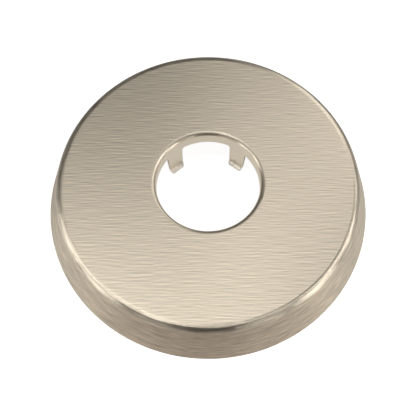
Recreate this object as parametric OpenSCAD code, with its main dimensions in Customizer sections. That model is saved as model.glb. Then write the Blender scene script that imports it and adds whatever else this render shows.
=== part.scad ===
// Shower arm flange: a wall cover that slides over a shower arm.
// It is one piece of sheet metal. The flat face turns over a round rim into a
// leaning skirt, and the hole in its middle is drawn down into a short collar.
// Spring fingers carry on from the collar, and their hooked tips grip the arm.
// The origin is on the hole's axis in the plane of the wall, +Z away from the wall.

/* [Sheet] */
// Thickness of the sheet metal
sheet = 0.8; // [0.5:0.1:1.1]

/* [Face and skirt] */
// Diameter over the open edge that meets the wall
base_d = 70; // [50:0.5:100]
// Height of the flat face above the wall
height = 10.2; // [7:0.1:16]
// Lean of the skirt from upright, in degrees
skirt_lean = 18.5; // [0:0.5:30]
// Outside radius of the bend between the face and the skirt
rim_bend = 1.9; // [1.3:0.1:3]

/* [Collar] */
// Diameter of the hole, a running fit on the arm
hole_d = 22; // [15:0.1:30]
// Inside radius of the bend where the face turns down into the hole
lip_bend = 0.2; // [0.2:0.1:0.8]
// Depth of the collar below the face, between two fingers
collar_depth = 3.2; // [2.3:0.1:4]

/* [Fingers] */
// Number of fingers in each of the two groups that face each other
group_fingers = 2; // [1:1:2]
// Angle between neighbours in a group
finger_step = 77; // [50:0.5:90]
// Turn of the front group away from -Y, seen from above
finger_turn = -2.8; // [-30:0.1:30]
// Width of a finger where it leaves the collar
finger_root_w = 3.9; // [2.5:0.1:5]
// Width of a finger at its hooked tip
finger_tip_w = 3.3; // [2:0.1:4.5]
// Radius of the fillets beside a finger's root
root_fillet = 0.7; // [0.2:0.1:1]
// Distance that a finger leans in by the time it reaches its tip
finger_lean = 0.3; // [0.1:0.05:0.5]
// Inside radius of the bend at a finger's tip
hook_bend = 0.2; // [0.1:0.1:0.5]
// Distance that a hooked tip reaches in past the collar's wall
hook_reach = 1.1; // [0.8:0.1:1.5]
// Radius of the rounded corners of a hooked tip
hook_corner = 0.5; // [0.1:0.1:0.9]
// Gap between the wall and the underside of a hooked tip
hook_lift = 0.2; // [0.1:0.1:1]

/* [Hidden] */
$fn = 128;
NICKEL = [0.76, 0.71, 0.64];

hole_r = hole_d / 2;
// Outside radius of the lip, and the height at which its bend starts
lip_r = lip_bend + sheet;
lip_z = height - lip_r;
// Height of the collar's lower edge
collar_z = height - collar_depth;
// Height at which the collar's wall starts to lean in, a little above its lower edge
knee_rise = 0.3;
knee_z = collar_z + knee_rise;
// Centre of the rim's bend, tangent to both the face and the skirt
rim_z = height - rim_bend;
rim_x = base_d / 2 - rim_z * tan(skirt_lean) - rim_bend / cos(skirt_lean);
// Straight lengths of the sheet between its bends
face_run = rim_x - hole_r - lip_r;
skirt_run = height / cos(skirt_lean) + sheet;
// Where a finger's wall ends and the bend at its tip starts
tip_r = hole_r - finger_lean;
tip_z = hook_lift + sheet + hook_bend;
// Distance from the axis to the straight edge of a hooked tip
tip_x = hole_r - hook_reach;
// Run of the tip's sheet past its bend, with some to spare that is trimmed off
tip_run = hook_reach;
// Rise of the root fillets past the collar's edge, so that they meet it at a clean corner
fillet_rise = 0.01;
// Radius inside which there is nothing to cut
core_r = hole_r / 2;

// Sheet in section, running straight along +Y from the origin, and what follows it
module straight(run) {
    square([sheet, run]);
    translate([0, run]) children();
}

// Part of a bend in section, about the bend's own centre: from its end on the -X side
// round to an angle
module half_bend(outside, angle) {
    far = 2 * outside;
    intersection() {
        difference() {
            circle(outside);
            circle(outside - sheet);
        }
        polygon([[0, 0], [-far * cos(angle), far * sin(angle)], [-far, 0]]);
    }
}

// Sheet in section that bends to the right, and what follows it. The bend is drawn from
// both of its ends, so that each meets the sheet beside it exactly.
module turn(outside, angle) {
    part = angle * 2 / 3;
    translate([outside, 0]) {
        half_bend(outside, part);
        rotate(-angle) {
            mirror([0, 1]) half_bend(outside, part);
            translate([-outside, 0]) children();
        }
    }
}

// Section of the whole sheet, drawn both ways from where the collar's wall starts to lean
// in: up over the lip, across the face and down the skirt, and down a finger to its tip
module sheet_section() {
    difference() {
        translate([hole_r, knee_z]) straight(lip_z - knee_z) turn(lip_r, 90)
            straight(face_run) turn(rim_bend, 90 - skirt_lean) straight(skirt_run);
        translate([0, -height]) square([base_d, height]);
    }
    polygon([[hole_r, knee_z], [tip_r, tip_z], [tip_r + sheet, tip_z], [hole_r + sheet, knee_z]]);
    translate([tip_r + sheet, tip_z]) rotate(180) turn(hook_bend + sheet, 90) straight(tip_run);
}

// Outline of a finger seen from the axis: tapered, with filleted roots below the collar
module finger_front() {
    root = finger_root_w / 2;
    tip = finger_tip_w / 2;
    fillet_x = root + root_fillet;
    fillet_z = collar_z - root_fillet + fillet_rise;
    polygon([[-root, collar_z], [-tip, 0], [tip, 0], [root, collar_z]]);
    difference() {
        translate([-fillet_x, fillet_z]) square([2 * fillet_x, lip_z - fillet_z]);
        for (side = [-1, 1]) translate([side * fillet_x, fillet_z]) circle(root_fillet);
    }
}

// What is trimmed off a hooked tip: all past its straight edge and round its corners
module tip_waste() {
    tip = finger_tip_w / 2;
    corner_x = tip_x + hook_corner;
    corner_y = tip - hook_corner;
    difference() {
        translate([core_r, -finger_root_w]) square([corner_x - core_r, 2 * finger_root_w]);
        translate([tip_x, -corner_y]) square([hook_corner, 2 * corner_y]);
        for (side = [-1, 1]) translate([corner_x, side * corner_y]) circle(hook_corner);
    }
}

// Puts a copy at each finger's place round the hole
module at_fingers() {
    for (group = [-90, 90], k = [0 : group_fingers - 1]) {
        place = (k - (group_fingers - 1) / 2) * finger_step;
        rotate(group - finger_turn + place) children();
    }
}

// What is cut away between the fingers, below the collar
module windows() {
    difference() {
        cylinder(h = collar_z, r = hole_r + 2 * sheet);
        at_fingers() translate([core_r, 0, 0]) rotate([90, 0, 90]) linear_extrude(hole_r) finger_front();
    }
}

// The whole flange
module flange() {
    color(NICKEL) difference() {
        rotate_extrude() sheet_section();
        windows();
        at_fingers() linear_extrude(tip_z) tip_waste();
    }
}

flange();
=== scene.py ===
import math
from types import SimpleNamespace

import bpy
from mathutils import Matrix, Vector


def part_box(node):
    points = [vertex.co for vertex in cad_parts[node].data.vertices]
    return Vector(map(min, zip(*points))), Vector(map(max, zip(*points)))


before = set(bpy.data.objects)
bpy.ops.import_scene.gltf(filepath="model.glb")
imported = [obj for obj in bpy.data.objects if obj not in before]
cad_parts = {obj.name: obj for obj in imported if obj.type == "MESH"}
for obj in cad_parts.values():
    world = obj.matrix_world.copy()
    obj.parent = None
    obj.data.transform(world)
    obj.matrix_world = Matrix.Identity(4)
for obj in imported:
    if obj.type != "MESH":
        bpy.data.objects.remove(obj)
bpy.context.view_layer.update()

# Sizes of the flange, in metres: its two overall ones are read from the flange's box in model.glb
FLANGE_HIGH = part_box("flange")[1]
BASE_R = FLANGE_HIGH[0]
HEIGHT = FLANGE_HIGH[2]
# Thickness of the sheet, and lean of the skirt from upright
SHEET = 0.0008
SKIRT_LEAN = math.radians(18.5)
# Radius at which the flat face ends, and how far below the face the rim's bend ends
RIM_R = 0.0302
RIM_DROP = 0.0013
# Radius of the hole, and outside radius of the bend at its lip
HOLE_R = 0.011
LIP_R = 0.001
# Height at which a finger's wall gives way to its hooked tip
TIP_Z = 0.0014

# Where one part of the skin gives way to the next. Each pair is where the change starts and
# where it is complete: a radius, a depth below the face, or a height over the wall.
FACE_TO_RIM = (RIM_R - 0.0003, RIM_R + 0.0011)
RIM_TO_SKIRT = (0.82 * RIM_DROP, 1.06 * RIM_DROP)
WALL_TO_LIP = (HOLE_R + 0.05 * LIP_R, HOLE_R + 0.35 * LIP_R)
LIP_TO_FACE = (HOLE_R + 0.6 * LIP_R, HOLE_R + 1.2 * LIP_R)
WALL_TO_TIP = (TIP_Z, 0.7 * TIP_Z)
# The same for the depth under the outer skin, and for how squarely a surface faces up or down
OUTER_TO_INSIDE = (0.55 * SHEET, 0.7 * SHEET)
STEEP_TO_LEVEL = (0.80, 0.93)

# Colours of the metal: warm nickel, and a darker copy on the skirt that is painted shade; a paler plate
# on the hole's wall and the fingers, a smoother plate whose paleness is partly a painted reflection; the
# palest on the hooked tips, a painted highlight
NICKEL = (0.70, 0.617, 0.492, 1)
SKIRT_NICKEL_PAINTED_SHADE = (0.60, 0.524, 0.414, 1)
PLATE_PARTLY_PAINTED_REFLECTION = (0.90, 0.80, 0.645, 1)
PAINTED_TIP_HIGHLIGHT = (1.0, 0.96, 0.88, 1)
# The inside keeps this share of the nickel's brightness
INSIDE_TONE = 0.85

# Roughness of each part of the skin, and how far the reflection spreads across the strokes
FACE_ROUGH = 0.37
RIM_ROUGH = 0.34
SKIRT_ROUGH = 0.50
LIP_ROUGH = 0.38
WALL_ROUGH = 0.28
TIP_ROUGH = 0.50
INSIDE_ROUGH = 0.45
SPREAD = 0.75

# Brush strokes on the face: a noise of this scale, squeezed along X to draw the strokes out. A
# stroke is the difference between two places this far apart, so that no broad patches are left.
FACE_SCALE = 5400.0
FACE_DETAIL = 2.0
FACE_SQUEEZE = 0.034
FACE_STEP = 0.0003
FACE_CONTRAST = 0.48
# They sway a little from the straight line, by a noise of this scale and this many metres
SWAY_SCALE = 55.0
SWAY = 0.0007
# Brush strokes on the rim and the skirt: the noise is read on a small circle of this radius
# instead of the real one, which draws the strokes out round the axis
SKIRT_SCALE = 5000.0
SKIRT_DETAIL = 3.0
SKIRT_CIRCLE = 0.0016
# Strength of each finer layer of the noise, as a share of the one before it
STROKE_GRAIN = 0.6
# How strongly the strokes show in colour, roughness and relief
STROKE_TONE = 2.2
STROKE_ROUGH = 0.15
STROKE_RELIEF = 0.15
RELIEF_DEPTH = 0.0001

# The floor and the sky
FLOOR_SIZE = 30.0
FLOOR_TONE = (0.42, 0.42, 0.42, 1)
WHITE = (1, 1, 1, 1)
SKY = 0.016
# Light that the floor adds to its paint: what the camera sees and what the metal mirrors
CAMERA_LIFT = 0.92
MIRROR_LIFT = 0.46
# The mirrored light fills an oval round the flange, long in X: none of it shows past the first
# distance from the middle, and all of it shows within the second
MIRROR_CENTRE = (0, -0.015, 0)
MIRROR_SQUEEZE = (0.4, 1, 1)
MIRROR_EDGE = (0.060, 0.030)
# It turns warm in front of the flange, between these places along Y
WARM_TONE = (1.0, 0.85, 0.80, 1)
WARM_EDGE = (-0.020, -0.036)

# Rings of lamps: angle over the floor in degrees, and radius of each disc in metres
LOW = (16, 0.17)
MIDDLE = (38, 0.17)
HIGH = (58, 0.17)
TOP = (75, 0.15)
OVERHEAD = (90, 0.13)
# Distance of every lamp from the middle of the flange's base
LAMP_REACH = 0.8
# Each lamp's name, angle round the axis from +X in degrees, ring, and brightness of its face
LAMPS = (
    ("low_left", 180, LOW, 2.3),
    ("low_front_left", 210, LOW, 2.8),
    ("low_front_near", 240, LOW, 0.8),
    ("low_front", 300, LOW, 1.3),
    ("low_front_right", 330, LOW, 3.3),
    ("middle_right", 0, MIDDLE, 4.9),
    ("middle_back_right", 30, MIDDLE, 1.8),
    ("middle_back", 60, MIDDLE, 2.6),
    ("middle_left", 180, MIDDLE, 2.4),
    ("high_back", 72, HIGH, 0.6),
    ("high_front_right", 324, HIGH, 0.7),
    ("top_back_right", 60, TOP, 1.4),
    ("top_left", 180, TOP, 4.1),
    ("overhead", 0, OVERHEAD, 2.4),
)

# The photograph's viewpoint: place in metres, pitch in degrees below level, focal length and
# sensor width in millimetres, and the nearest and farthest that the camera sees, in metres
CAMERA_PLACE = (-0.00003, -0.05885, 0.13223)
CAMERA_PITCH = 66.678
CAMERA_LENS = 56.157
CAMERA_SENSOR = 36.0
CAMERA_NEAR = 0.005
CAMERA_FAR = 50.0

# Places of a Mix node's two inputs and its output, for each kind of value
MIX_SOCKETS = {"FLOAT": (2, 3, 0), "VECTOR": (4, 5, 1), "RGBA": (6, 7, 2)}
# Value that a noise lies above and below
NOISE_MIDDLE = 0.5


class Nodes:
    """A few words for wiring a material or a world."""

    def __init__(self, owner):
        owner.use_nodes = True
        self.tree = owner.node_tree
        self.tree.nodes.clear()

    def add(self, kind, *inputs, **settings):
        """A new node, with its settings and its first inputs."""
        node = self.tree.nodes.new(kind)
        for name, value in settings.items():
            setattr(node, name, value)
        for socket, value in zip(node.inputs, inputs):
            self.feed(socket, value)
        return node

    def feed(self, socket, value):
        """Links another node's output to a socket, or sets a plain value on it."""
        if isinstance(value, bpy.types.NodeSocket):
            self.tree.links.new(value, socket)
        else:
            socket.default_value = value

    def feed_named(self, node, values):
        """Feeds a node's sockets by their names."""
        for name, value in values.items():
            self.feed(node.inputs[name], value)

    def math(self, operation, *inputs, clamp=False):
        return self.add("ShaderNodeMath", *inputs, operation=operation, use_clamp=clamp).outputs[0]

    def ramp(self, value, change):
        """0 before the change starts and 1 once it is complete, smooth between the two."""
        start, complete = change
        node = self.add("ShaderNodeMapRange", value, start, complete, 0.0, 1.0,
                        interpolation_type="SMOOTHSTEP")
        return node.outputs[0]

    def mix(self, factor, a, b, kind="FLOAT", how="MIX"):
        """The first value where the factor is 0 and the second where it is 1."""
        first, second, result = MIX_SOCKETS[kind]
        node = self.add("ShaderNodeMix", factor, data_type=kind, blend_type=how)
        self.feed(node.inputs[first], a)
        self.feed(node.inputs[second], b)
        return node.outputs[result]

    def split(self, vector):
        return self.add("ShaderNodeSeparateXYZ", vector).outputs

    def join(self, x, y, z):
        return self.add("ShaderNodeCombineXYZ", x, y, z).outputs[0]

    def noise(self, place, scale, detail=2.0, roughness=0.5):
        """A smooth noise, above and below 0."""
        node = self.add("ShaderNodeTexNoise")
        self.feed_named(node, {"Vector": place, "Scale": scale, "Detail": detail, "Roughness": roughness})
        return self.math("SUBTRACT", node.outputs[0], NOISE_MIDDLE)

    def finish(self, kind, shader):
        """Sends a shader to the output of the material or the world."""
        self.feed(self.add(kind).inputs["Surface"], shader.outputs[0])


def find_skin(n):
    """Where a point lies, and how far it belongs to each part of the skin, from 0 to 1."""
    skin = SimpleNamespace(place=n.add("ShaderNodeTexCoord").outputs["Object"])
    x, y, z = n.split(skin.place)
    r = n.math("SQRT", n.math("ADD", n.math("MULTIPLY", x, x), n.math("MULTIPLY", y, y)))
    skin.x, skin.y, skin.z, skin.r = x, y, z, r
    skin.out_x = n.math("DIVIDE", x, r)
    skin.out_y = n.math("DIVIDE", y, r)

    # Depth under the outer skin, which is the least of the depths under face, skirt and hole
    below_face = n.math("SUBTRACT", HEIGHT, z)
    skirt_r = n.math("SUBTRACT", BASE_R, n.math("MULTIPLY", z, math.tan(SKIRT_LEAN)))
    behind_skirt = n.math("MULTIPLY", n.math("SUBTRACT", skirt_r, r), math.cos(SKIRT_LEAN))
    behind_hole = n.math("SUBTRACT", r, HOLE_R)
    depth = n.math("MINIMUM", n.math("MINIMUM", below_face, behind_skirt), behind_hole)

    skin.inside = n.ramp(depth, OUTER_TO_INSIDE)
    skin.rim = n.ramp(r, FACE_TO_RIM)
    skin.skirt = n.ramp(below_face, RIM_TO_SKIRT)
    skin.past_wall = n.ramp(r, WALL_TO_LIP)
    skin.past_lip = n.ramp(r, LIP_TO_FACE)
    skin.tip = n.ramp(z, WALL_TO_TIP)
    skin.brushed = n.math("MULTIPLY", skin.past_lip, n.math("SUBTRACT", 1.0, skin.inside))
    return skin


def brush_strokes(n, skin):
    """Strokes above and below 0: straight along X on the face, round the axis on rim and skirt."""
    sway = n.math("MULTIPLY", n.noise(skin.place, SWAY_SCALE), SWAY)
    along = n.math("MULTIPLY", skin.x, FACE_SQUEEZE)
    across = n.math("ADD", skin.y, sway)
    beside = n.math("ADD", across, FACE_STEP)
    here = n.noise(n.join(along, across, 0.0), FACE_SCALE, FACE_DETAIL, STROKE_GRAIN)
    there = n.noise(n.join(along, beside, 0.0), FACE_SCALE, FACE_DETAIL, STROKE_GRAIN)
    face = n.math("MULTIPLY", n.math("SUBTRACT", here, there), FACE_CONTRAST)

    round_x = n.math("MULTIPLY", skin.out_x, SKIRT_CIRCLE)
    round_y = n.math("MULTIPLY", skin.out_y, SKIRT_CIRCLE)
    circle = n.join(round_x, round_y, n.math("SUBTRACT", skin.z, skin.r))
    skirt = n.noise(circle, SKIRT_SCALE, SKIRT_DETAIL, STROKE_GRAIN)
    return n.math("MULTIPLY", n.mix(skin.rim, face, skirt), skin.brushed)


def metal_colour(n, skin, strokes):
    """Plate on the hole's wall and the fingers, nickel elsewhere, in the tone of the strokes. The plate's
    paleness is partly a painted reflection, its palest tips are a painted highlight, and the skirt's
    darker nickel is painted shade.
    """
    # The palest plate on the hooked tips is a painted highlight, and the plate's paleness is partly a
    # painted reflection
    plate_and_painted_light = n.mix(skin.tip, PLATE_PARTLY_PAINTED_REFLECTION, PAINTED_TIP_HIGHLIGHT, "RGBA")
    # The skirt's darker nickel is painted shade
    nickel_and_painted_skirt_shade = n.mix(skin.skirt, NICKEL, SKIRT_NICKEL_PAINTED_SHADE, "RGBA")
    metal = n.mix(n.math("MAXIMUM", skin.past_wall, skin.inside), plate_and_painted_light, nickel_and_painted_skirt_shade, "RGBA")
    tone = n.math("ADD", 1.0, n.math("MULTIPLY", strokes, STROKE_TONE))
    tone = n.math("MULTIPLY", tone, n.mix(skin.inside, 1.0, INSIDE_TONE))
    return n.mix(1.0, metal, tone, "RGBA", "MULTIPLY")


def metal_roughness(n, skin, strokes):
    """Satin where the nickel is brushed, smooth on the hole's wall, dull on the tips and inside."""
    brushed = n.mix(skin.skirt, n.mix(skin.rim, FACE_ROUGH, RIM_ROUGH), SKIRT_ROUGH)
    smooth = n.mix(skin.tip, n.mix(skin.past_wall, WALL_ROUGH, LIP_ROUGH), TIP_ROUGH)
    rough = n.mix(skin.inside, n.mix(skin.brushed, smooth, brushed), INSIDE_ROUGH)
    return n.math("ADD", rough, n.math("MULTIPLY", strokes, STROKE_ROUGH))


def spread_direction(n, skin):
    """The way that reflections spread, across the strokes: along Y on the face, outwards on the
    rim, and upright on the skirt and in the hole, but never upright on a level surface."""
    flat = n.mix(skin.rim, (0, 1, 0), n.join(skin.out_x, skin.out_y, 0.0), "VECTOR")
    facing_up = n.split(n.add("ShaderNodeNewGeometry").outputs["Normal"])[2]
    steep = n.math("SUBTRACT", 1.0, n.ramp(n.math("ABSOLUTE", facing_up), STEEP_TO_LEVEL))
    in_hole = n.math("SUBTRACT", 1.0, skin.past_lip)
    upright = n.math("MULTIPLY", n.math("MAXIMUM", skin.skirt, in_hole), steep)
    return n.mix(upright, flat, (0, 0, 1), "VECTOR")


def brushed_nickel():
    """The finish of the whole flange, with painted shade on the skirt and painted light in the hole's
    plate and on the hooked tips.
    """
    material = bpy.data.materials.new("brushed_nickel")
    n = Nodes(material)
    skin = find_skin(n)
    strokes = brush_strokes(n, skin)
    relief = n.add("ShaderNodeBump")
    n.feed_named(relief, {"Strength": STROKE_RELIEF, "Distance": RELIEF_DEPTH, "Height": strokes})
    surface = n.add("ShaderNodeBsdfPrincipled")
    n.feed_named(surface, {
        "Metallic": 1.0,
        "Anisotropic": SPREAD,
        "Base Color": metal_colour(n, skin, strokes),
        "Roughness": metal_roughness(n, skin, strokes),
        "Normal": relief.outputs[0],
        "Tangent": spread_direction(n, skin),
    })
    n.finish("ShaderNodeOutputMaterial", surface)
    return material


def floor_paint():
    """Grey paint that the camera sees white, and that the metal mirrors brighter near the flange."""
    material = bpy.data.materials.new("studio_floor")
    n = Nodes(material)
    paint = n.add("ShaderNodeBsdfDiffuse", FLOOR_TONE)
    rays = n.add("ShaderNodeLightPath").outputs
    seen = n.math("MULTIPLY", rays["Is Camera Ray"], CAMERA_LIFT)
    mirrored = n.math("ADD", rays["Is Glossy Ray"], rays["Is Transmission Ray"], clamp=True)

    place = n.add("ShaderNodeTexCoord").outputs["Object"]
    squeezed = n.add("ShaderNodeVectorMath", place, MIRROR_SQUEEZE, operation="MULTIPLY").outputs[0]
    away = n.add("ShaderNodeVectorMath", squeezed, MIRROR_CENTRE, operation="DISTANCE").outputs["Value"]
    near = n.ramp(away, MIRROR_EDGE)
    reflected = n.math("MULTIPLY", n.math("MULTIPLY", mirrored, near), MIRROR_LIFT)
    in_front = n.ramp(n.split(place)[1], WARM_EDGE)
    colour = n.mix(n.math("MULTIPLY", in_front, mirrored), WHITE, WARM_TONE, "RGBA")

    lift = n.add("ShaderNodeEmission", colour, n.math("ADD", seen, reflected))
    both = n.add("ShaderNodeAddShader", paint.outputs[0], lift.outputs[0])
    n.finish("ShaderNodeOutputMaterial", both)
    return material


def studio_floor():
    bpy.ops.object.select_all(action="DESELECT")
    bpy.ops.mesh.primitive_plane_add(size=FLOOR_SIZE, location=(0, 0, 0))
    floor = bpy.context.object
    floor.name = "studio_floor"
    floor.data.materials.append(floor_paint())


def studio_sky():
    """White to the camera, and nearly dark to everything else."""
    world = bpy.data.worlds.new("studio_sky")
    bpy.context.scene.world = world
    n = Nodes(world)
    seen = n.add("ShaderNodeLightPath").outputs["Is Camera Ray"]
    sky = n.add("ShaderNodeBackground", WHITE, n.math("MAXIMUM", seen, SKY))
    n.finish("ShaderNodeOutputWorld", sky)


def soft_lamp(name, azimuth, ring, brightness):
    """A round soft box that faces the flange. Its brightness is the radiance of its face."""
    elevation, radius = ring
    azimuth, elevation = math.radians(azimuth), math.radians(elevation)
    away = Vector((math.cos(azimuth) * math.cos(elevation), math.sin(azimuth) * math.cos(elevation),
                   math.sin(elevation)))
    data = bpy.data.lights.new(name, "AREA")
    data.shape = "DISK"
    data.size = 2 * radius
    data.energy = brightness * math.pi * math.pi * radius ** 2
    lamp = bpy.data.objects.new(name, data)
    bpy.context.collection.objects.link(lamp)
    lamp.location = away * LAMP_REACH
    lamp.rotation_euler = (-away).to_track_quat("-Z", "Y").to_euler()


def photo_camera():
    data = bpy.data.cameras.new("camera")
    data.sensor_width = CAMERA_SENSOR
    data.lens = CAMERA_LENS
    data.clip_start = CAMERA_NEAR
    data.clip_end = CAMERA_FAR
    camera = bpy.data.objects.new("camera", data)
    bpy.context.collection.objects.link(camera)
    camera.location = CAMERA_PLACE
    camera.rotation_euler = (math.radians(90 - CAMERA_PITCH), 0, 0)
    bpy.context.scene.camera = camera


nickel_finish = brushed_nickel()
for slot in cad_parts["flange"].material_slots:
    slot.material = nickel_finish

studio_floor()
studio_sky()
for lamp_row in LAMPS:
    soft_lamp(*lamp_row)
photo_camera()
bpy.context.scene.view_settings.view_transform = "Standard"
